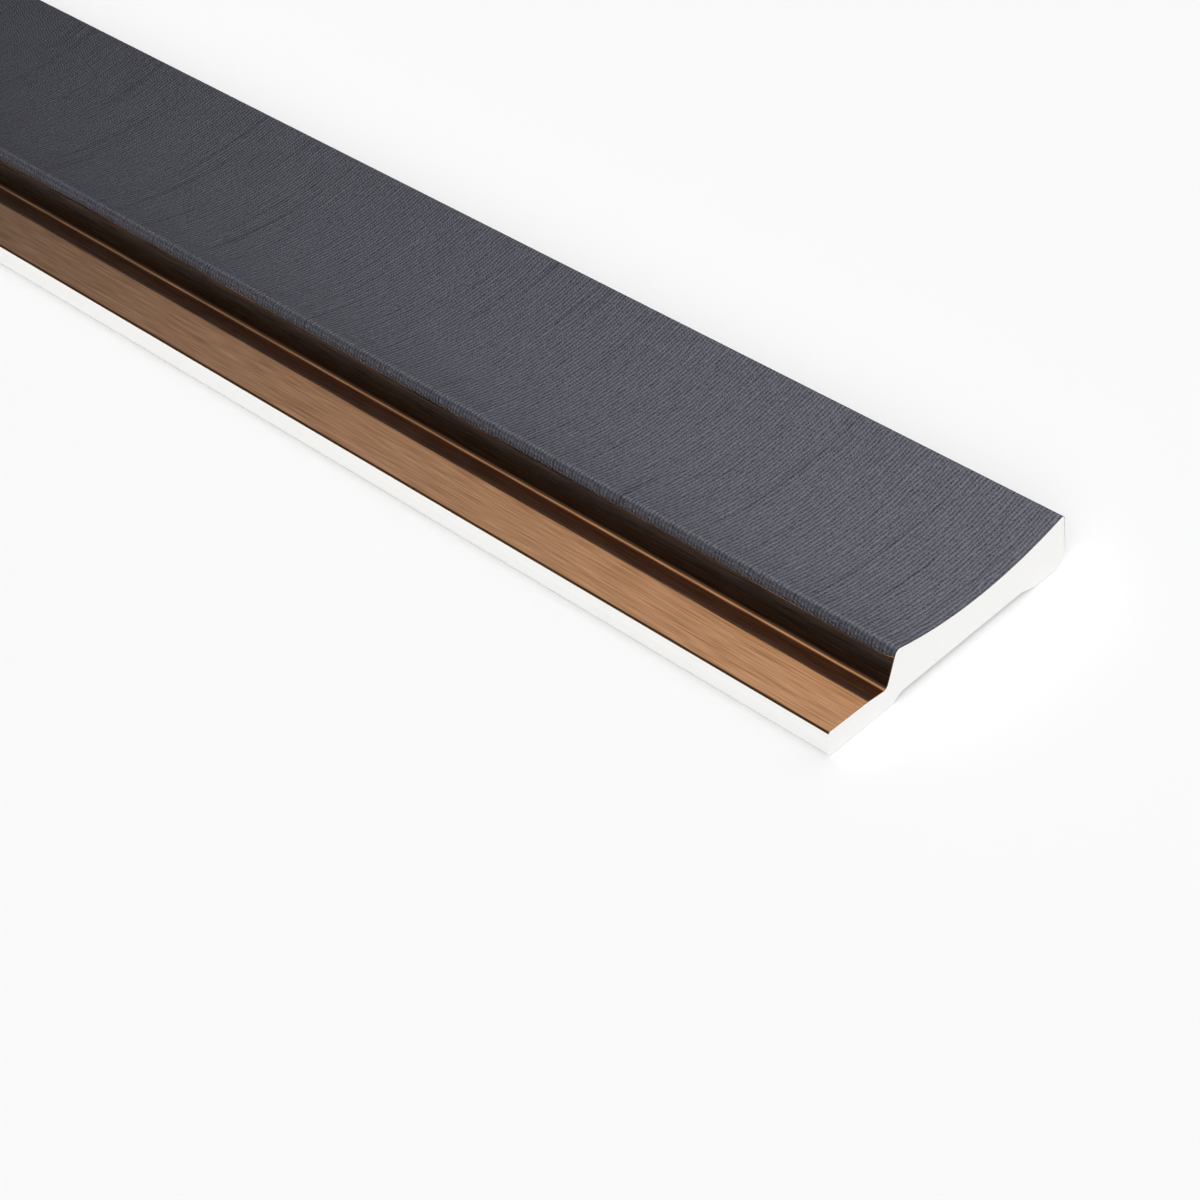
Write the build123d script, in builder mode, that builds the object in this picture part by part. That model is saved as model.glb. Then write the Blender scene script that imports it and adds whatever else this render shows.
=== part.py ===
"""Slat wall panel: one length of extruded foam moulding with a dished face, a stepped tongue and two decor films.

Frame: X runs along the length, Y across the width from the tongue (-Y) to the butt edge (+Y), and Z up from the
back of the panel, which lies on the floor. The origin is the middle of the back. Millimetres.
"""
import os
from math import cos, radians, tan

from build123d import *

# Whole panel
length = 2700.0
width = 120.0  # tongue edge to the widest place of the butt edge
height = 22.5  # back to the rims of the dished face, before they are rounded

# Tongue, which the neighbouring panel butts against
tongue_width = 28.35  # tongue edge to the riser
tongue_thickness = 10.6  # at its outer rim
tongue_fall = 0.7  # drop from the outer rim to the hollow
tongue_rim_radius = 1.0
tongue_heel_radius = 3.0

# Shallow hollow in the tongue along the foot of the riser
hollow_width = 9.2
hollow_depth = 1.1
riser_foot_radius = 2.0

# Step up from the tongue to the dished face
riser_lean = 14.5  # degrees from upright
shoulder_radius = 2.0
dish_depth = 5.75

# Butt edge, which closes against the neighbouring panel's tongue
butt_lean = 8.3  # degrees from upright, outward towards the back
butt_rim_radius = 1.5
butt_heel_radius = 5.5

# Back of the panel: two flat feet with a shallow glue recess between them
front_foot_width = 31.4
front_ramp = 4.5
rear_foot_width = 14.2
rear_ramp = 8.4
recess_depth = 2.7

# Decor films, and how far each comes down from the edge that it turns over
film_thickness = 0.2
fabric_riser_turn = 3.8
fabric_butt_turn = 1.6
foil_rim_turn = 0.85

# Places that follow from the sizes
tongue_y = -width / 2
butt_y = width / 2
riser_tangent = tan(radians(riser_lean))
foot_y = tongue_y + tongue_width - (tongue_fall + hollow_depth) * riser_tangent
foot_z = tongue_thickness - tongue_fall - hollow_depth
hollow_y = tongue_y + tongue_width - hollow_width
hollow_z = tongue_thickness - tongue_fall
hollow_slope = hollow_depth / (foot_y - hollow_y)
shoulder_y = tongue_y + tongue_width + (height - tongue_thickness) * riser_tangent
seam_y = shoulder_y - fabric_riser_turn * riser_tangent

# The heel's arc touches the full width, so the wall's base line stands a little further out
butt_tangent = tan(radians(butt_lean))
butt_base_y = butt_y + butt_heel_radius * (butt_tangent + 1 / cos(radians(butt_lean)) - 1)
butt_rim_y = butt_base_y - height * butt_tangent

dish_chord = butt_rim_y - shoulder_y
dish_radius = (dish_chord**2 / 4 + dish_depth**2) / (2 * dish_depth)
dish_y = (shoulder_y + butt_rim_y) / 2
dish_z = height - dish_depth + dish_radius


def panel_section(inset):
    """Cross-section of the panel with its decor side and both edges set back by inset."""
    # The riser moves back along its own normal, and the hollow moves down, so their corner slides a little
    riser_shift = inset / cos(radians(riser_lean)) - inset * riser_tangent
    foot_shift = riser_shift / (1 + hollow_slope * riser_tangent)
    inset_foot = (foot_y + foot_shift, foot_z - inset - hollow_slope * foot_shift)
    inset_base_y = butt_base_y - inset / cos(radians(butt_lean))
    blank_top = height + dish_depth
    blank_top_y = inset_foot[0] + (blank_top - inset_foot[1]) * riser_tangent
    with BuildSketch(Plane.YZ) as section:
        with BuildLine():
            Polyline(
                (tongue_y + inset, 0),
                (tongue_y + inset, tongue_thickness - inset),
                (hollow_y, hollow_z - inset),
                inset_foot,
                (blank_top_y, blank_top),
                (inset_base_y - blank_top * butt_tangent, blank_top),
                (inset_base_y, 0),
                close=True,
            )
        make_face()
        with Locations((dish_y, dish_z)):
            Circle(dish_radius + inset, mode=Mode.SUBTRACT)
        with BuildLine():
            Polyline(
                (tongue_y + front_foot_width, 0),
                (tongue_y + front_foot_width + front_ramp, recess_depth),
                (butt_y - rear_foot_width - rear_ramp, recess_depth),
                (butt_y - rear_foot_width, 0),
                close=True,
            )
        make_face(mode=Mode.SUBTRACT)
        rounded_corners = [
            ((tongue_y, 0), tongue_heel_radius),
            ((tongue_y, tongue_thickness), tongue_rim_radius - inset),
            ((foot_y, foot_z), riser_foot_radius + inset),
            ((shoulder_y, height), shoulder_radius - inset),
            ((butt_rim_y, height), butt_rim_radius - inset),
            ((butt_base_y, 0), butt_heel_radius),
        ]
        for corner, radius in rounded_corners:
            fillet(section.vertices().sort_by_distance(corner)[0], radius=radius)
    return section.sketch_local


finished_section = panel_section(0)
foam_section = panel_section(film_thickness)

# Fabric film over the dish, from its seam on the riser to just over the butt edge
with BuildPart() as fabric_film:
    with BuildSketch(Plane.YZ) as fabric_reach:
        with Locations((seam_y, height - dish_depth - fabric_riser_turn)):
            Rectangle(butt_rim_y - butt_rim_radius - seam_y, height, align=(Align.MIN, Align.MIN))
        with Locations((butt_rim_y - butt_rim_radius, height - fabric_butt_turn)):
            Rectangle(2 * butt_rim_radius, height, align=(Align.MIN, Align.MIN))
    with BuildSketch(Plane.YZ) as fabric_section:
        add(finished_section)
        add(foam_section, mode=Mode.SUBTRACT)
        add(fabric_reach.sketch_local, mode=Mode.INTERSECT)
    extrude(fabric_section.sketch, amount=length / 2, both=True)
fabric_film.part.label = "fabric_film"

# Bronze foil over the tongue and up the riser to the seam
with BuildPart() as bronze_foil:
    with BuildSketch(Plane.YZ) as foil_reach:
        with Locations((tongue_y, tongue_thickness - foil_rim_turn)):
            Rectangle(tongue_rim_radius, height, align=(Align.MIN, Align.MIN))
        with Locations((tongue_y + tongue_rim_radius, foot_z / 2)):
            Rectangle(seam_y - tongue_y - tongue_rim_radius, height, align=(Align.MIN, Align.MIN))
    with BuildSketch(Plane.YZ) as foil_section:
        add(finished_section)
        add(foam_section, mode=Mode.SUBTRACT)
        add(foil_reach.sketch_local, mode=Mode.INTERSECT)
    extrude(foil_section.sketch, amount=length / 2, both=True)
bronze_foil.part.label = "bronze_foil"

# Foam moulding: everything inside the films
with BuildPart() as foam_moulding:
    with BuildSketch(Plane.YZ):
        add(finished_section)
        add(fabric_section.sketch_local, mode=Mode.SUBTRACT)
        add(foil_section.sketch_local, mode=Mode.SUBTRACT)
    extrude(amount=length / 2, both=True)
foam_moulding.part.label = "foam_moulding"

os.makedirs("parts", exist_ok=True)
export_step(foam_moulding.part, "parts/foam_moulding.step")
export_step(fabric_film.part, "parts/fabric_film.step")
export_step(bronze_foil.part, "parts/bronze_foil.step")
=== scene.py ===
# %% [markdown]
# # A wall slat with a dished, woven-look face
#
# The slat is a 2.7 m length of white foam moulding. A dark film with a woven rib covers its dished face, and
# a brushed bronze foil covers the low tongue in front of it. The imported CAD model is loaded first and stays
# as it is: it gives the frame, in metres, and every new piece is built in that frame and stands for one CAD
# node.

# %% Load the frame
from math import cos, pi, radians, sin, tan

import bpy
import numpy as np
from mathutils import Matrix


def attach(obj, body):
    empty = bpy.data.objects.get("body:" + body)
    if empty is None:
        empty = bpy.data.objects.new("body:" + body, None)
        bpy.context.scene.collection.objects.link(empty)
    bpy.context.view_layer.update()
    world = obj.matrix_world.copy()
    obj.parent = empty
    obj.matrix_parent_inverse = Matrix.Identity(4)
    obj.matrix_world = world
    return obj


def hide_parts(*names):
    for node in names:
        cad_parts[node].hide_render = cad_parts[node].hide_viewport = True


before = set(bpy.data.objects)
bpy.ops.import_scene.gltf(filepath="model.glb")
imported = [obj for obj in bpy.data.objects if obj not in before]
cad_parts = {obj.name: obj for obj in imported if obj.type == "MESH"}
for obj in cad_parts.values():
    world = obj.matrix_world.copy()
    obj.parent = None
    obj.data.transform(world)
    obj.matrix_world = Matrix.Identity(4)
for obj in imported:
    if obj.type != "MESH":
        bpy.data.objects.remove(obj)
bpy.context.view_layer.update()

# %% [markdown]
# ## The section
#
# The whole object is one cross-section carried along X, so the sizes of that section come first. They repeat
# the part's driving sizes, in metres. Places that follow from them are worked out, so that a size changes in
# one line.

# %% Sizes of the section
length = 2.7
width = 0.120
height = 0.0225

tongue_width = 0.02835
tongue_thickness = 0.0106
tongue_fall = 0.0007
tongue_rim_radius = 0.0010
tongue_heel_radius = 0.0030
hollow_width = 0.0092
hollow_depth = 0.0011

riser_foot_radius = 0.0020
riser_lean = radians(14.5)
shoulder_radius = 0.0020
dish_depth = 0.00575

butt_lean = radians(8.3)
butt_rim_radius = 0.0015
butt_heel_radius = 0.0055

front_foot_width = 0.0314
front_ramp = 0.0045
rear_foot_width = 0.0142
rear_ramp = 0.0084
recess_depth = 0.0027

film_thickness = 0.0002
fabric_riser_turn = 0.0038
fabric_butt_turn = 0.0016
foil_rim_turn = 0.00085
print("section", width, "by", height, "m before its rims are rounded")

# %% Places that follow from the sizes
tongue_y, butt_y = -width / 2, width / 2
foot_z = tongue_thickness - tongue_fall - hollow_depth
hollow_edge = np.array([tongue_y + tongue_width - hollow_width, tongue_thickness - tongue_fall])
riser_foot = np.array([tongue_y + tongue_width - (tongue_thickness - foot_z) * tan(riser_lean), foot_z])
riser_up = np.array([sin(riser_lean), cos(riser_lean)])
riser_inward = np.array([cos(riser_lean), -sin(riser_lean)])
seam = riser_foot + riser_up * (height - fabric_riser_turn - foot_z) / cos(riser_lean)
shoulder_y = tongue_y + tongue_width + (height - tongue_thickness) * tan(riser_lean)

butt_base = np.array([butt_y + butt_heel_radius * (tan(butt_lean) + 1 / cos(butt_lean) - 1), 0.0])
butt_up = np.array([-sin(butt_lean), cos(butt_lean)])
butt_inward = np.array([-cos(butt_lean), -sin(butt_lean)])
butt_rim_y = butt_base[0] - height * tan(butt_lean)
film_end = butt_base + butt_up * (height - fabric_butt_turn) / cos(butt_lean)

dish_radius = ((butt_rim_y - shoulder_y) ** 2 / 4 + dish_depth**2) / (2 * dish_depth)
dish_centre = np.array([(butt_rim_y + shoulder_y) / 2, height - dish_depth + dish_radius])
print("dish radius", round(dish_radius, 4), "m, seam at", seam.round(4))

# %% [markdown]
# ## Lines, arcs and rounded corners
#
# An outline with rounded corners can come from a Bevel modifier, but then the roundings depend on the mesh.
# Here each stretch is worked out as points: a straight stretch, an arc about a centre, or the arc that rounds
# a corner. Joined end to end they make the section's outline, with the points where the shape needs them.

# %% Helpers for outlines
def unit(vector):
    """The vector divided by its length."""
    return vector / np.linalg.norm(vector)


def line(start, end, count):
    """Straight stretch: start + t (end - start), for count even values of t from 0 to 1."""
    share = np.linspace(0, 1, count)[:, None]
    return np.asarray(start) * (1 - share) + np.asarray(end) * share


def arc(centre, first, last, count):
    """Arc the short way round: centre + the radius to first, turned evenly until it points at last."""
    (a, b), (c, d) = first - centre, last - centre
    angle = np.arctan2(a * d - b * c, a * c + b * d) * np.linspace(0, 1, count)
    turned = [a * np.cos(angle) - b * np.sin(angle), a * np.sin(angle) + b * np.cos(angle)]
    return centre + np.stack(turned, 1)


def rounded(before, corner, after, radius, count):
    """Arc that rounds a corner: its centre is radius / sin(half the corner's angle) away, on the bisector."""
    back, on = unit(before - corner), unit(after - corner)
    half_angle = np.arccos(back @ on) / 2
    centre = corner + unit(back + on) * radius / np.sin(half_angle)
    reach = radius / np.tan(half_angle)
    return arc(centre, corner + back * reach, corner + on * reach, count)


def joined(*stretches, same_point=1e-7):
    """The stretches end to end, without the points that repeat the point before them."""
    points = np.concatenate(stretches)
    fresh = np.linalg.norm(np.diff(points, axis=0), axis=1) > same_point
    return points[np.concatenate([[True], fresh])]


def run(points):
    """Distance along an outline, from its first point to each of its points."""
    return np.concatenate([[0], np.cumsum(np.linalg.norm(np.diff(points, axis=0), axis=1))])


def normals(points):
    """Unit normals on the left of an outline: its tangent, by differences of its points, turned a quarter."""
    tangent = np.gradient(points, run(points), axis=0)
    return np.stack([-tangent[:, 1], tangent[:, 0]], 1) / np.linalg.norm(tangent, axis=1)[:, None]


# %% [markdown]
# ## The decor side's outline
#
# The bronze foil starts on the tongue's rounded rim, crosses the tongue and its shallow hollow, and climbs
# the leaning riser to the seam. There the woven film takes over, turns over the rounded shoulder, follows the
# dish and ends just over the far rim. The two rims between a straight wall and the dish are found from
# distances: their centre is one radius inside the wall, and the dish's radius plus one radius from the dish's
# centre.

# %% Rims between a wall and the dish
def dish_rim(foot, up, inward, radius):
    """Centre of a rim's arc, its place on the wall and its place on the dish. The centre is
    foot + radius inward + s up, with s the first solution of
    (distance to the dish's centre) = dish radius + radius."""
    start = foot + radius * inward - dish_centre
    step = -(start @ up) - np.sqrt((start @ up) ** 2 - start @ start + (dish_radius + radius) ** 2)
    centre = dish_centre + start + step * up
    return centre, centre - radius * inward, centre + radius * unit(dish_centre - centre)


shoulder, shoulder_low, shoulder_high = dish_rim(riser_foot, riser_up, riser_inward, shoulder_radius)
butt_rim, butt_low, butt_high = dish_rim(butt_base, butt_up, butt_inward, butt_rim_radius)
print("the shoulder meets the dish at", shoulder_high.round(4), "and the far rim at", butt_high.round(4))

# %% Outlines of the foil and the film
crease_step = 0.0002
bead_zone = 0.001
tongue_corner = np.array([tongue_y, tongue_thickness])
tongue_rim = rounded(np.array([tongue_y, 0.0]), tongue_corner, hollow_edge, tongue_rim_radius, 28)
bare = tongue_rim[:, 1] < tongue_thickness - foil_rim_turn
bare_rim, foiled_rim = tongue_rim[bare], tongue_rim[~bare]
riser_bend = rounded(hollow_edge, riser_foot, seam, riser_foot_radius, 16)
hollow_slope, tongue_slope = unit(riser_foot - hollow_edge), unit(hollow_edge - tongue_corner)
foil_line = joined(
    foiled_rim,
    line(foiled_rim[-1], hollow_edge - 2 * crease_step * tongue_slope, 18),
    line(hollow_edge - crease_step * tongue_slope, hollow_edge + 2 * crease_step * hollow_slope, 4),
    line(hollow_edge + 5 * crease_step * hollow_slope, riser_bend[0], 8),
    riser_bend,
    line(riser_bend[-1], seam - bead_zone * riser_up, 12),
    line(seam - bead_zone * riser_up, seam, 13),
)

shoulder_bend = arc(shoulder, shoulder_low, shoulder_high, 14)
film_line = joined(
    line(seam, shoulder_low, 9),
    shoulder_bend,
    arc(dish_centre, shoulder_high, butt_high, 66),
    arc(butt_rim, butt_high, butt_low, 12),
    line(butt_low, film_end, 2),
)
bend_start = np.linalg.norm(shoulder_low - seam)
bend_end = bend_start + run(shoulder_bend)[-1]
foil_inner = foil_line - film_thickness * normals(foil_line)
film_inner = film_line - film_thickness * normals(film_line)
print("foil runs", run(foil_line)[-1].round(4), "m across, film", run(film_line)[-1].round(4), "m")
print("the film bends from", round(bend_start, 5), "to", round(bend_end, 5), "m from its seam")

# %% [markdown]
# ## Carrying a section along the slat
#
# Blender's Curve bevel or a Screw modifier could carry a profile, but a grid keeps every point under control.
# Each piece is a band between an upper and a lower row of points. The band is a ring of points at every
# station along X; faces join each ring to the next, and the two ends are closed by faces between the upper
# and the lower row.

# %% A band carried along X
sharp_edge = radians(28)


def band_mesh(name, upper, lower):
    """Closed band: upper and lower are arrays (station, row, xyz). Ring = upper rows, then lower rows
    backwards. Returns the object with, for each face corner, its station and its place on the ring."""
    rings, rows = upper.shape[:2]
    ring = np.concatenate([upper, lower[:, ::-1]], 1)
    across = 2 * rows
    i, j = np.meshgrid(np.arange(rings - 1), np.arange(across), indexing="ij")
    i, j, k = i.ravel(), j.ravel(), (j.ravel() + 1) % across
    sides = np.stack([i * across + j, (i + 1) * across + j, (i + 1) * across + k, i * across + k], 1)
    near = np.arange(rows - 1)
    first_end = np.stack([near, near + 1, across - 2 - near, across - 1 - near], 1)
    last_end = first_end[:, ::-1] + (rings - 1) * across
    faces = np.concatenate([sides, first_end, last_end])
    mesh = bpy.data.meshes.new(name)
    mesh.from_pydata(ring.reshape(-1, 3), [], faces)
    mesh.shade_smooth()
    mesh.set_sharp_from_angle(angle=sharp_edge)
    piece = bpy.data.objects.new(name, mesh)
    bpy.context.scene.collection.objects.link(piece)
    return piece, faces // across, faces % across


def volume(piece):
    """Signed volume: a sixth of the sum of a . (b x c) over the mesh's triangles. It is positive when the
    faces point outward."""
    mesh = piece.data
    points = np.empty(3 * len(mesh.vertices))
    mesh.vertices.foreach_get("co", points)
    mesh.calc_loop_triangles()
    corners = np.empty(3 * len(mesh.loop_triangles), int)
    mesh.loop_triangles.foreach_get("vertices", corners)
    a, b, c = points.reshape(-1, 3)[corners.reshape(-1, 3)].transpose(1, 0, 2)
    return np.sum(a * np.cross(b, c)) / 6


def place(piece, node):
    """The piece rides on the only body and stands for a CAD node, whose own mesh is hidden."""
    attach(piece, "root")
    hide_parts(node)
    print(piece.name, len(piece.data.polygons), "faces,", round(volume(piece) * 1e6, 1), "ml")


# %% [markdown]
# ## Stations, and the seam between the two decors
#
# The two decors meet on the riser in a seam that is not a ruler line: it wavers by about a tenth of a
# millimetre, and the film's edge has curled up at the cut ends. Rows near the seam slide along the riser. On
# the seam itself both pieces slide by the same amount, so no gap opens between them. The stations lie closer
# together near the ends, where the seam curls.

# %% Stations and the seam's slide
half_length = length / 2
from_end = np.array([0.0005, 0.001, 0.0015, 0.002, 0.003, 0.004, 0.005, 0.006, 0.008])
even = np.linspace(-half_length, half_length, 271)
stations = np.sort(np.concatenate([even, half_length - from_end, from_end - half_length]))


def waver(x, waves):
    """Sum of sines of x: each wave is its length, its height and its phase."""
    lengths, heights, phases = np.array(waves).T
    return np.sum(heights * np.sin(2 * pi * np.asarray(x)[..., None] / lengths + phases), -1)


def curl(from_cut, rise, reach):
    """Rise of the seam near a cut end: rise * exp(-(distance from the cut / reach) to the power 1.5)."""
    return rise * np.exp(-((from_cut / reach) ** 1.5))


seam_slide = waver(stations, [(0.31, 0.00007, 0.4), (0.127, 0.00005, 2.1), (0.053, 0.00004, 5.0)])
seam_slide += curl(half_length - stations, 0.0010, 0.0032)
seam_slide += curl(stations + half_length, 0.0006, 0.0030)


def carried(outline, slide_weight):
    """The outline at every station: (x, y + w s sin lean, z + w s cos lean), with w a row's weight and s the
    slide."""
    grid = np.empty((len(stations), len(outline), 3))
    grid[..., 0] = stations[:, None]
    grid[..., 1:] = outline + (seam_slide[:, None] * slide_weight)[..., None] * riser_up
    return grid


print(len(stations), "stations; the seam slides by up to", seam_slide.max().round(5), "m")

# %% [markdown]
# ## The woven film
#
# On the real slat this is a printed and embossed film. A Solidify modifier could give a sheet its thickness.
# Here the strip is closed from the start, so that its maps can tell the outer side from the inner one. It is
# 0.2 mm thick, and its edge shows as a thin dark line on the cut end. Its surface map is in metres, so the
# weave keeps its scale round the bends. A second map folds the strip for baking: the weave repeats every
# three cells of 180 mm, so three cells fill the image and the others lie on the same pixels, a whole number
# of images further along.

# %% Maps of a strip
cell, cells_in_image = 0.18, 3
image_margin, inner_side_shift = 0.02, 20


def add_map(piece, name, u, v):
    """A map on the piece's mesh: (u, v) at every face corner."""
    corners = np.stack([u, v], -1)
    piece.data.uv_layers.new(name=name)
    piece.data.uv_layers[name].uv.foreach_set("vector", corners.astype(np.float32).ravel())


def surface_maps(piece, at_station, at_ring, outline):
    """Two maps. One is (x, distance along the outline). The other folds x into cells: each cell is as wide as
    the image and takes one of its rows; the cells after the first few lie whole images further along, and the
    inner side lies further still."""
    across = run(outline)
    across = np.concatenate([across, across[::-1]])[at_ring]
    x = stations[at_station]
    add_map(piece, "surface", x, across)

    number = np.floor((x.mean(1) + half_length) / cell - 1e-6).clip(0, None)[:, None]
    inside = (at_ring >= len(outline)).all(1)[:, None]
    u = (x + half_length) / cell - number + number // cells_in_image + inner_side_shift * inside
    share = image_margin + (1 - 2 * image_margin) * across / across.max()
    add_map(piece, "OFBake", u, (number % cells_in_image + share) / cells_in_image)


# %% Film
film_weight = np.clip(1 - run(film_line) / bend_start, 0, 1)
film_rows = carried(film_line, film_weight), carried(film_inner, film_weight)
film, at_station, at_ring = band_mesh("woven_film", *film_rows)
surface_maps(film, at_station, at_ring, film_line)
place(film, "fabric_film")

# %% [markdown]
# ## The bronze foil
#
# The foil is the same kind of strip. Its last millimetre before the seam carries a thin bead: a bump across
# the seam whose height wavers along the slat, as glue and a rolled edge leave it.

# %% Foil
slide_reach = 0.004
bead_height, bead_width, bead_from_seam = 0.00007, 0.00016, 0.00018
to_seam = run(foil_line)[-1] - run(foil_line)
foil_weight = np.clip(1 - to_seam / slide_reach, 0, 1) ** 2
bead = waver(stations, [(0.037, 0.00002, 1.0), (0.0613, 0.00003, 3.3), (0.23, 0.00002, 0.2)]) + bead_height
lift = bead[:, None] * np.exp(-(((to_seam - bead_from_seam) / bead_width) ** 2))
foil_outer = carried(foil_line, foil_weight)
foil_outer[..., 1:] += lift[..., None] * normals(foil_line)
foil, at_station, at_ring = band_mesh("bronze_foil_skin", foil_outer, carried(foil_inner, foil_weight))
surface_maps(foil, at_station, at_ring, foil_line)
place(foil, "bronze_foil")

# %% [markdown]
# ## The foam moulding
#
# The foam is the body under both decors. Its upper row runs under the two films and steps out to the bare
# edges where they end, and its lower row runs along the back: heel, front foot, glue recess, rear foot, heel.
# Each upper point gets a partner on the back at about the same Y, so the faces that close the ends do not
# cross. The foam does not waver along the slat, so every eighth station is enough; the first and the last are
# among them.

# %% Outline of the foam
upper_line = joined(bare_rim, foiled_rim[:1], foil_inner, film_inner, film_end[None])
heel_front = rounded(bare_rim[0], np.array([tongue_y, 0.0]), np.zeros(2), tongue_heel_radius, 8)
heel_rear = rounded(np.zeros(2), butt_base, film_end, butt_heel_radius, 14)
recess = np.array([
    [tongue_y + front_foot_width, 0],
    [tongue_y + front_foot_width + front_ramp, recess_depth],
    [butt_y - rear_foot_width - rear_ramp, recess_depth],
    [butt_y - rear_foot_width, 0],
])
back_line = joined(heel_front, recess, heel_rear)

by_y = (upper_line[:, 0] - upper_line[0, 0]) / np.ptp(upper_line[:, 0])
by_run = run(upper_line) / run(upper_line)[-1]
partner = (0.9 * by_y + 0.1 * by_run) * run(back_line)[-1]
lower_line = np.stack([np.interp(partner, run(back_line), back_line[:, axis]) for axis in (0, 1)], 1)
for bend in recess:
    lower_line[np.argmin(np.linalg.norm(lower_line - bend, axis=1))] = bend
print("foam outline:", len(upper_line), "points above and as many below")

# %% Foam
station_step = 8
still = np.zeros(len(upper_line))
foam_rows = carried(upper_line, still)[::station_step], carried(lower_line, still)[::station_step]
foam = band_mesh("foam_body", *foam_rows)[0]
place(foam, "foam_moulding")

# %% [markdown]
# ## Shader maths as Python
#
# A finish is a formula over the surface. Nodes can be placed and linked one at a time, but the formula is
# then hard to read. Here one small class wraps a socket, so that `1 - rib * 0.2` adds the Math nodes that it
# needs, and one method adds any other node.

# %% Wires
class Wire:
    """An output socket in a node tree, with arithmetic that adds Math nodes."""

    def __init__(self, tree, socket=None):
        self.tree, self.socket = tree, socket

    def node(self, kind, settings=None, sockets=None, output=0):
        """Adds a node: its settings first, then the values or wires of its sockets; returns one output."""
        made = self.tree.nodes.new(kind)
        for name, value in (settings or {}).items():
            setattr(made, name, value)
        for name, value in (sockets or {}).items():
            if isinstance(value, Wire):
                self.tree.links.new(value.socket, made.inputs[name])
            else:
                made.inputs[name].default_value = value
        return Wire(self.tree, made.outputs[output] if len(made.outputs) else None)

    def maths(self, operation, *others):
        """A Math node on this wire and the others."""
        return self.node("ShaderNodeMath", {"operation": operation}, dict(enumerate([self, *others])))

    def __add__(self, other):
        return self.maths("ADD", other)

    def __sub__(self, other):
        return self.maths("SUBTRACT", other)

    def __rsub__(self, other):
        return self.node("ShaderNodeMath", {"operation": "SUBTRACT"}, {0: other, 1: self})

    def __mul__(self, other):
        return self.maths("MULTIPLY", other)

    __radd__, __rmul__ = __add__, __mul__

    def ramp(self, low, high):
        """0 below low, 1 above high and a smooth step between them."""
        sockets = {"Value": self, "From Min": low, "From Max": high}
        return self.node("ShaderNodeMapRange", {"interpolation_type": "SMOOTHSTEP"}, sockets)

    def split(self):
        """The three numbers of a vector."""
        parts = self.node("ShaderNodeSeparateXYZ", None, {0: self}).socket.node
        return [Wire(self.tree, socket) for socket in parts.outputs]

    def between(self, first, second):
        """Colour between two colours, first at 0 and second at 1. A Mix node's sockets share their names, so
        its colours are given by number: inputs 6 and 7, output 2."""
        return self.node("ShaderNodeMix", {"data_type": "RGBA"}, {0: self, 6: first, 7: second}, 2)


def finish_of(name, piece):
    """A new material on a piece; returns its Principled BSDF and a wire to start from."""
    material = bpy.data.materials.new(name)
    material.use_nodes = True
    piece.data.materials.append(material)
    return material.node_tree.nodes["Principled BSDF"], Wire(material.node_tree)


def feed(shader, sockets):
    """Sets constants on the shader's own sockets, and links wires to the others."""
    for name, value in sockets.items():
        if isinstance(value, Wire):
            value.tree.links.new(value.socket, shader.inputs[name])
        else:
            shader.inputs[name].default_value = value


# %% [markdown]
# ## Patterns that come round again
#
# The finishes repeat every 540 mm, so that a small image holds them sharply. A wave does that by itself. A
# noise does it when X is wound round a cylinder of that circumference: the pattern is read on the cylinder,
# where the end of the 540 mm meets its start.

# %% Wound coordinates
repeat = cells_in_image * cell
winding = repeat / (2 * pi)


def wound(wire, x, along_scale, other, other_scale):
    """The place on the cylinder, scaled along and across: (R cos t, R sin t, other), with t = x / R."""
    turn = x * (1 / winding)
    sockets = {
        0: turn.maths("COSINE") * (winding * along_scale),
        1: turn.maths("SINE") * (winding * along_scale),
        2: other * other_scale,
    }
    return wire.node("ShaderNodeCombineXYZ", None, sockets)


def noise(place_on, detail=2.0, roughness=0.5):
    """Noise from 0 to 1 at that place, its grains one unit across."""
    sockets = {"Vector": place_on, "Scale": 1.0, "Detail": detail, "Roughness": roughness}
    return place_on.node("ShaderNodeTexNoise", None, sockets)


def surface_of(wire):
    """X and the distance across, read from the piece's own map in metres."""
    place_on = wire.node("ShaderNodeUVMap", {"uv_map": "surface"})
    return place_on.split()[:2]


def bumped(wire, height_of, depth):
    """Normal of a surface whose relief is depth metres deep for a change of 1 in height_of."""
    return wire.node("ShaderNodeBump", None, {"Strength": 1.0, "Distance": depth, "Height": height_of})


print("patterns repeat every", round(repeat, 3), "m")
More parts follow.
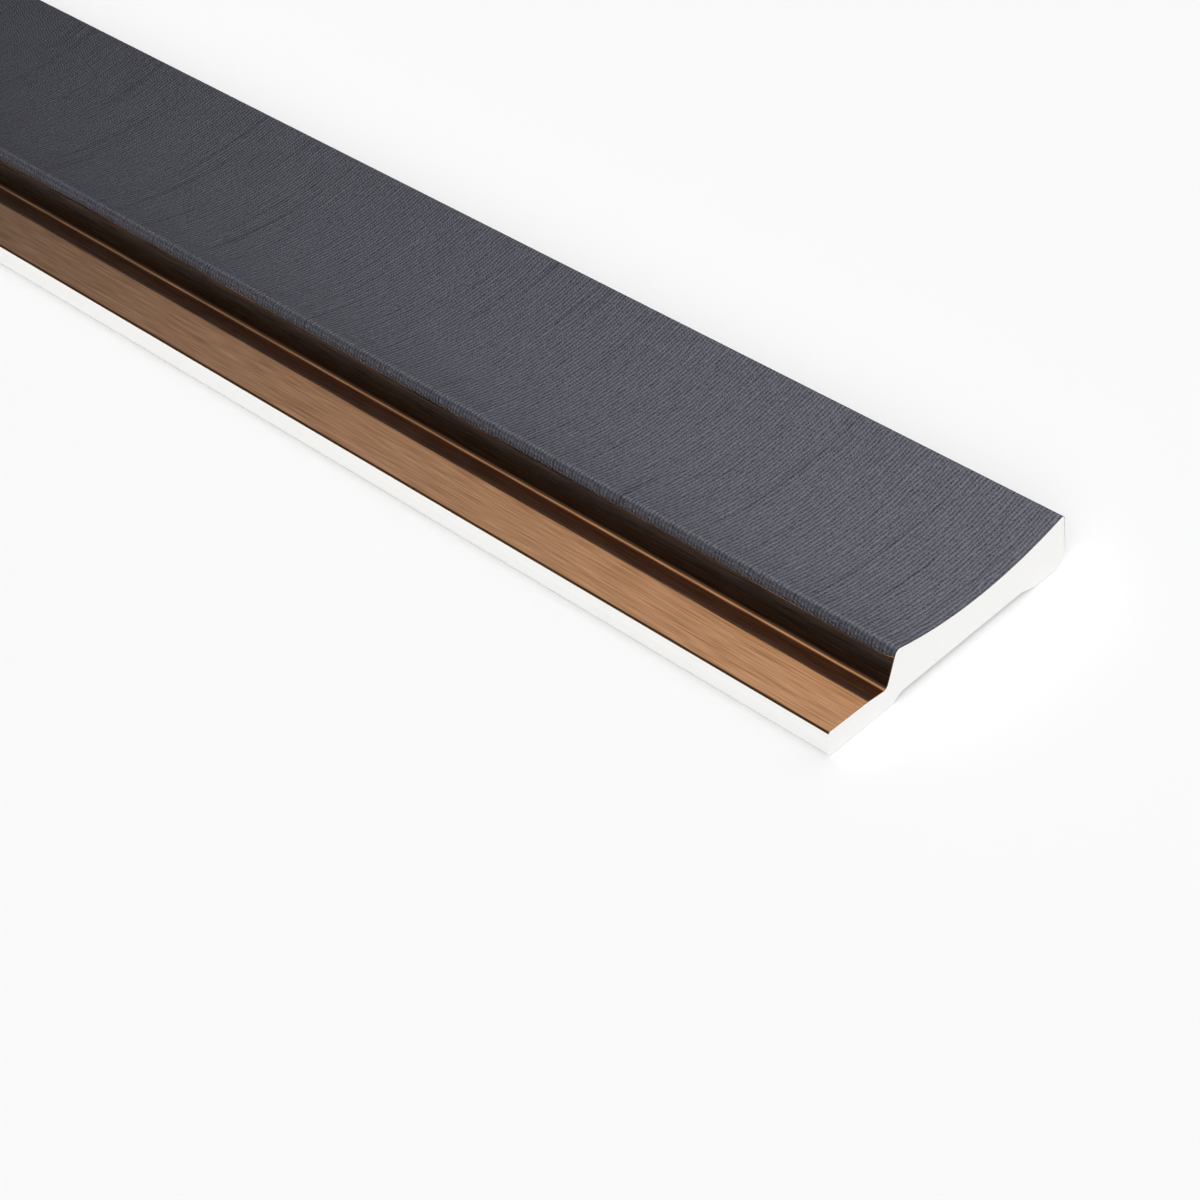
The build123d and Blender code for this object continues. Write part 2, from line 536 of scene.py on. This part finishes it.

# %% [markdown]
# ## Finish of the film
#
# The film imitates a coarse woven cloth. Ribs run across the slat about every 1.4 mm. They wander, break up
# into nubs of a millimetre or two and differ from yarn to yarn. Their colour is partly the print and partly
# painted shade: the crests are painted lighter and the valleys darker. Every few centimetres a darker line
# crosses the film, the painted shade of a groove that has no relief. The relief is under a tenth of a
# millimetre, so it is a bump. The film's dark pigment has a metallic sheen, so most of its light is a soft
# reflection in its own colour. Where the film is drawn round the shoulder it is stretched: the sheen breaks
# up there and the bend looks paler. A metal turns white at a low angle; the specular tint keeps the film dark
# there.

# %% Weave of the film
ribs, nub_pitch = 390, 0.00118
shader, wire = finish_of("dark_woven_film", film)
x, across = surface_of(wire)
drift = noise(wound(wire, x, 60, across, 30), 1.0) - 0.5
wander = noise(wound(wire, x, 480, across, 120), 0.0) - 0.5
phase = x * (2 * pi * ribs / repeat) + drift * 4.0 + wander * 4.5
rib = phase.maths("SINE")
nub = (across * (2 * pi / nub_pitch) + phase * 0.5 + drift * 9.0 + wander * 6.0).maths("SINE")
knot = noise(wound(wire, x, 1100, across, 850), 0.0) - 0.5
fleck = noise(wound(wire, x, 1900, across, 1700), 0.0) - 0.5
yarn = noise(wound(wire, x, 620, across, 90), 2.0, 0.6) - 0.5
mottle = noise(wound(wire, x, 60, across, 60), 2.0, 0.6) - 0.5
# Painted shade: darker lines across the film where a groove would be, with no relief under them.
groove_shade = noise(wound(wire, x, 330, across, 9), 1.0).ramp(0.62, 0.74)
# Colour of the weave: partly print, partly painted shade. The rib term paints crests lighter and valleys
# darker.
weave_and_shade = rib * 0.40 + nub * 0.08 + knot * 0.6 + fleck * 1.3 + yarn * 0.35 + mottle * 0.12 - groove_shade * 0.3
print("ribs every", round(repeat / ribs * 1000, 2), "mm, nubs every", round(nub_pitch * 1000, 2), "mm")

# %% Film finish
dark_yarn, pale_yarn = (0.004, 0.004, 0.005, 1), (0.226, 0.226, 0.268, 1)
# The film's colour carries the print and the painted shade of the ribs and grooves.
colour = (0.5 + weave_and_shade * 0.41).between(dark_yarn, pale_yarn)
relief = rib * 0.30 + nub * 0.40 + (knot + fleck) * 1.1
stretch_begins = across.ramp(bend_start - 0.0010, bend_start + 0.0008)
stretch_ends = across.ramp(bend_end - 0.0012, bend_end)
sheen = 0.87 - stretch_begins * (1 - stretch_ends) * 0.30
feed(shader, {"Base Color": colour, "Metallic": sheen, "Roughness": 0.30 - weave_and_shade * 0.05})
feed(shader, {"Normal": bumped(wire, relief, 0.00004), "Specular Tint": (0.52, 0.52, 0.54, 1)})
print("film finish:", len(wire.tree.nodes), "nodes")

# %% [markdown]
# ## Finish of the foil
#
# The foil is a metallised film brushed along its length and sealed with a clear lacquer: long fine streaks
# that differ in tone, in gloss and a little in height. The streaks are noise that is stretched up to a
# hundredfold along X. The lacquer is the shader's coat. Its weight follows the streaks too, so that they show
# in what the lacquer reflects.

# %% Foil finish
dark_bronze, pale_bronze = (0.25, 0.102, 0.023, 1), (0.45, 0.189, 0.046, 1)
shader, wire = finish_of("brushed_bronze_foil", foil)
x, across = surface_of(wire)
streak = noise(wound(wire, x, 12, across, 1150), 1.0, 0.6) - 0.5
grain = noise(wound(wire, x, 70, across, 1800), 0.0) - 0.5
broad = noise(wound(wire, x, 9, across, 240), 2.0, 0.6) - 0.5
cloud = noise(wound(wire, x, 30, across, 60), 2.0) - 0.5
tone = 0.5 + streak * 0.45 + grain * 1.25 + broad * 0.04 + cloud * 0.04
gloss = 0.13 + streak * 0.05 + cloud * 0.03
feed(shader, {"Base Color": tone.between(dark_bronze, pale_bronze), "Metallic": 1.0, "Roughness": gloss})
feed(shader, {"Normal": bumped(wire, streak + broad, 0.00002)})
feed(shader, {"Coat Weight": 0.4 + tone * 0.7, "Coat Roughness": 0.28, "Coat IOR": 1.8})
print("foil finish:", len(wire.tree.nodes), "nodes")

# %% [markdown]
# ## Finish of the foam
#
# The foam is white. Its extruded skin has faint lines along the slat; the sawn ends are open and show fine
# cells. A ramp on X tells the ends from the skin, because they are the only faces at the very ends.

# %% Foam finish
grey_foam, white_foam = (0.86, 0.855, 0.83, 1), (0.90, 0.895, 0.875, 1)
shader, wire = finish_of("white_moulding_foam", foam)
x, y, z = wire.node("ShaderNodeTexCoord", output="Object").split()
sawn = x.maths("ABSOLUTE").ramp(half_length - 0.0001, half_length - 0.00005)
lines = noise(wound(wire, x, 4, y + z * 1.3, 900), 2.0, 0.6)
cells = noise(wire.node("ShaderNodeCombineXYZ", None, {0: y * 1600, 1: z * 1600}), 2.0, 0.6)
grain = lines * (1 - sawn) + cells * sawn
colour = grain.ramp(0.2, 0.8).between(grey_foam, white_foam)
feed(shader, {"Base Color": colour, "Roughness": 0.6 + sawn * 0.25, "Normal": bumped(wire, grain, 0.00003)})
print("foam finish:", len(wire.tree.nodes), "nodes")

# %% [markdown]
# ## Camera
#
# The camera stands at the photograph's angle. Its place comes from one corner of the slat: where that corner
# lies in the picture, how far away it is, and the direction of view. The corner is a little inside the
# tongue's edge, because the heel there is rounded.

# %% Camera
picture, focal = 1200, 2660.953
azimuth, elevation, roll = radians(43.236), radians(40.576), radians(0.962)
corner = np.array([half_length, tongue_y + 0.00084, 0])
corner_at = np.array([828.596, 757.204])
corner_depth = 0.789428
sensor = 36.0


def stand(thing, right, up, back, at):
    """Puts a thing in the scene at a place, with its own X, Y and Z along right, up and back."""
    turned = np.stack([right, up, back, at], 1)
    thing.matrix_world = Matrix(np.vstack([turned, [0, 0, 0, 1]]).tolist())
    bpy.context.scene.collection.objects.link(thing)


forward = np.array([-sin(azimuth) * cos(elevation), cos(azimuth) * cos(elevation), -sin(elevation)])
level = np.array([cos(azimuth), sin(azimuth), 0])
plumb = np.cross(forward, level)
right = cos(roll) * level + sin(roll) * plumb
down = cos(roll) * plumb - sin(roll) * level
offset = (corner_at - picture / 2) / focal
eye = corner - corner_depth * (offset[0] * right + offset[1] * down + forward)
camera = bpy.data.objects.new("camera", bpy.data.cameras.new("camera"))
camera.data.sensor_width, camera.data.lens = sensor, sensor * focal / picture
camera.data.clip_start, camera.data.clip_end = 0.01, 100.0
stand(camera, right, -down, -forward, eye)
bpy.context.scene.camera = camera
print("camera at", eye.round(3), "lens", round(camera.data.lens, 2), "mm")

# %% [markdown]
# ## Floor and light
#
# The slat lies on a white studio floor, which is clear from below. A broad sun from the front right gives the
# white edges their light. The rest is a long softbox overhead and behind the slat, in the sky: bright between
# two angles about the slat's length, with a faint lip further to the front, and fading towards the far end.
# The foil and the film's sheen pick it up. The front left stays dark, so that the riser, which mirrors it by
# way of the tongue, is dark too. Area lamps could do the same, but angles in the sky are easier to aim at a
# surface that mirrors them.

# %% Floor
floor_reach, floor_drop = 40.0, 0.0002
floor_corners = np.array([[-1, -1, 0], [1, -1, 0], [1, 1, 0], [-1, 1, 0]]) * floor_reach - [0, 0, floor_drop]
floor_mesh = bpy.data.meshes.new("floor")
floor_mesh.from_pydata(floor_corners, [], [[0, 1, 2, 3]])
floor = bpy.data.objects.new("floor", floor_mesh)
bpy.context.scene.collection.objects.link(floor)
shader, wire = finish_of("studio_floor", floor)
feed(shader, {"Base Color": (0.93, 0.93, 0.93, 1), "Roughness": 0.9, "Specular IOR Level": 0.1})
behind = wire.node("ShaderNodeNewGeometry", output="Backfacing")
clear = wire.node("ShaderNodeBsdfTransparent")
shown = wire.node("ShaderNodeMixShader", None, {0: behind, 1: Wire(wire.tree, shader.outputs[0]), 2: clear})
wire.tree.links.new(shown.socket, wire.tree.nodes["Material Output"].inputs[0])
print("floor", floor_drop, "m under the slat")

# %% Sun
to_sun = unit(np.array([0.42, -0.66, 0.62]))
side = unit(np.cross([0, 0, 1], to_sun))
sun = bpy.data.objects.new("key", bpy.data.lights.new("key", "SUN"))
sun.data.energy, sun.data.angle = 2.25, radians(50)
stand(sun, side, np.cross(to_sun, side), to_sun, [2, -2, 3])
print("sun from", to_sun.round(2))

# %% Softbox in the sky
back_edge = radians(4), radians(16)
front_edge = radians(92), radians(106)
lip_edge, lip_share = (radians(130), radians(150)), 0.15
unlit, lit = (0.015, 0.015, 0.015, 1), (1.23, 1.23, 1.25, 1)
world = bpy.data.worlds.new("studio")
world.use_nodes = True
bpy.context.scene.world = world
sky = Wire(world.node_tree)
dx, dy, dz = sky.node("ShaderNodeTexCoord", output="Generated").split()
about = dz.maths("ARCTAN2", dy)
lip = (1 - about.ramp(*lip_edge)) * lip_share
overhead = (1 - about.ramp(*front_edge)) * (1 - lip_share)
softbox = about.ramp(*back_edge) * (overhead + lip)
softbox = softbox * dx.ramp(-0.91, -0.36) * (1 - dx.ramp(0.1, 0.6) * 0.7)
fill = dx.ramp(0.0, 0.5) * 0.2
glow = (softbox + fill * (1 - softbox)).between(unlit, lit)
feed(world.node_tree.nodes["Background"], {"Color": glow})
bpy.context.scene.view_settings.view_transform = "Standard"
print("sky:", len(sky.tree.nodes), "nodes")
